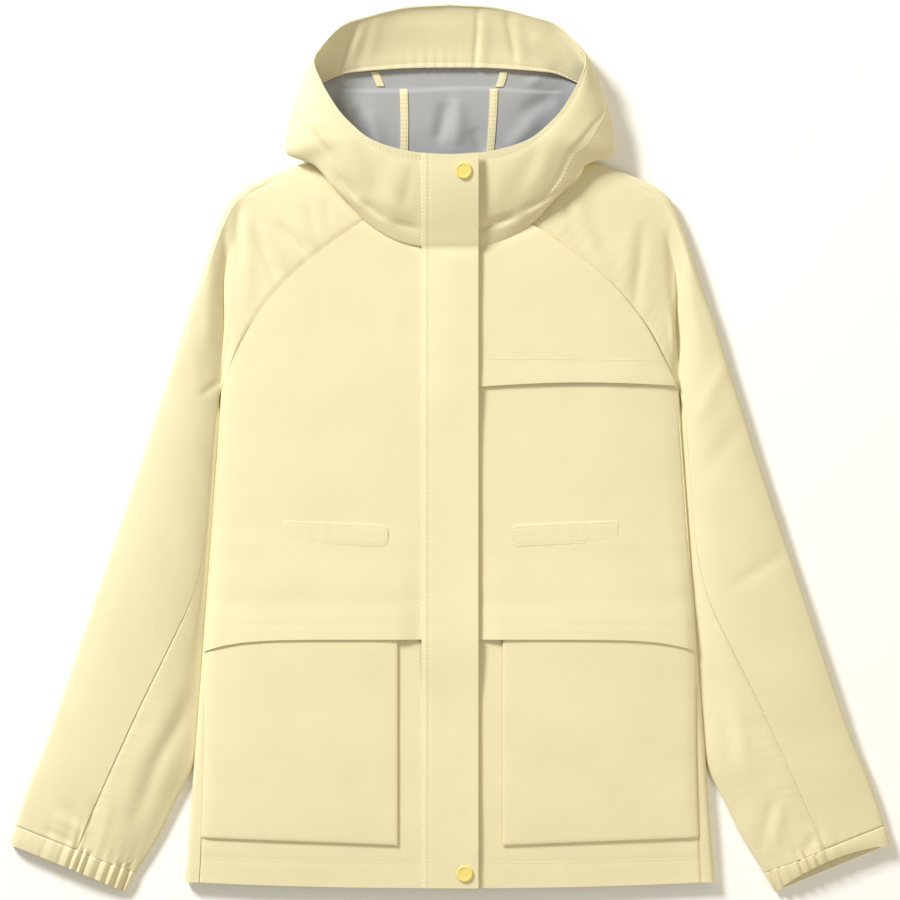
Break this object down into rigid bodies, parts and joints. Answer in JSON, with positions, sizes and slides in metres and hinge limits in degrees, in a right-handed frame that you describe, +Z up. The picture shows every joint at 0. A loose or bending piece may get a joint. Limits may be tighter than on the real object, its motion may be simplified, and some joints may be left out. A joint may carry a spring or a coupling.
{
  "type": "hooded softshell jacket",
  "caption": "Pale yellow hooded jacket with raglan sleeves, a storm flap over the zip, patch pockets and elastic sleeve hems, lying flat on its back.",
  "frame": {"origin": "on the surface it lies on, below the middle of its overall length and width", "axes": "+X towards the wearer's left sleeve, +Y from hem to hood, +Z up from the surface through the front"},
  "size_m": [0.9358, 0.9414, 0.0538],
  "materials": {
    "softshell": "matte bonded softshell cloth",
    "lining": "smooth grey bonded backing",
    "tape": "matte seam tape",
    "snap": "satin yellow lacquered cap"
  },
  "bodies": {
    "root": {"back_panel": "softshell", "chest_flap": "softshell", "storm_flap": "softshell", "snap_upper": "snap", "snap_lower": "snap", "front_upper_right": "softshell", "front_upper_left": "softshell", "front_lower_right": "softshell", "front_lower_left": "softshell", "pocket_right": "softshell", "pocket_left": "softshell", "waist_tab_right": "softshell", "waist_tab_left": "softshell", "sleeve_top_right": "softshell", "sleeve_top_left": "softshell", "sleeve_under_right": "softshell", "sleeve_under_left": "softshell", "cuff_right": "softshell", "cuff_left": "softshell", "hood_front_right": "softshell", "hood_front_left": "softshell", "hood_side_right": "softshell", "hood_side_left": "softshell", "hood_centre": "softshell", "hood_facing": "softshell", "hood_lining": "lining", "seam_tape_upper_right": "tape", "seam_tape_lower_right": "tape", "seam_tape_upper_left": "tape", "seam_tape_lower_left": "tape"}
  },
  "joints": []
}
